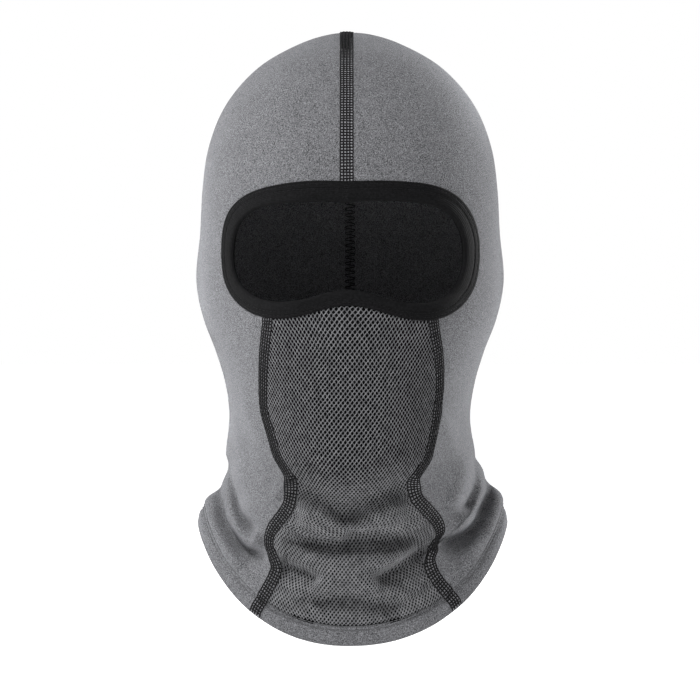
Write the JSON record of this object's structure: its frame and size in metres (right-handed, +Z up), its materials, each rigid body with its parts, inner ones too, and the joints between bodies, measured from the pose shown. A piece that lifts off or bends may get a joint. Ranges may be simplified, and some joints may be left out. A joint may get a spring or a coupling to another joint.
{
  "type": "balaclava",
  "caption": "Stretch-knit balaclava hood with a wide tape-bound eye opening, a mesh panel over nose and mouth, flatlock seams and a turned-up neck hem, shaped as worn on a head.",
  "frame": {"origin": "midpoint between the wearer's two ear points (tragions), inside the hood", "axes": "+Z up to the crown, +X to the right as seen from the front, and the eye opening faces -Y"},
  "size_m": [0.1768, 0.2159, 0.3393],
  "materials": {
    "heather_knit": "brushed matte heather knit",
    "mesh_knit": "matte two-tone mesh knit",
    "binding_tape": "matte black stretch tape",
    "black_thread": "black polyester sewing thread",
    "grey_thread": "grey polyester sewing thread"
  },
  "bodies": {
    "root": {"left_side_panel": "heather_knit", "right_side_panel": "heather_knit", "front_mesh_panel": "mesh_knit", "eye_tape": "binding_tape", "eye_tape_needle_thread_outer": "black_thread", "eye_tape_needle_thread_inner": "black_thread", "eye_tape_looper_thread": "black_thread", "eye_tape_join_stitches": "black_thread", "crown_seam_needle_thread_1": "black_thread", "crown_seam_needle_thread_2": "black_thread", "crown_seam_needle_thread_3": "black_thread", "crown_seam_cover_thread": "black_thread", "crown_seam_looper_thread": "black_thread", "left_face_seam_needle_thread_1": "black_thread", "left_face_seam_needle_thread_2": "black_thread", "left_face_seam_needle_thread_3": "black_thread", "left_face_seam_cover_thread": "black_thread", "left_face_seam_looper_thread": "black_thread", "right_face_seam_needle_thread_1": "black_thread", "right_face_seam_needle_thread_2": "black_thread", "right_face_seam_needle_thread_3": "black_thread", "right_face_seam_cover_thread": "black_thread", "right_face_seam_looper_thread": "black_thread", "hem_needle_thread_upper": "grey_thread", "hem_needle_thread_lower": "grey_thread", "hem_looper_thread": "grey_thread"}
  },
  "joints": []
}
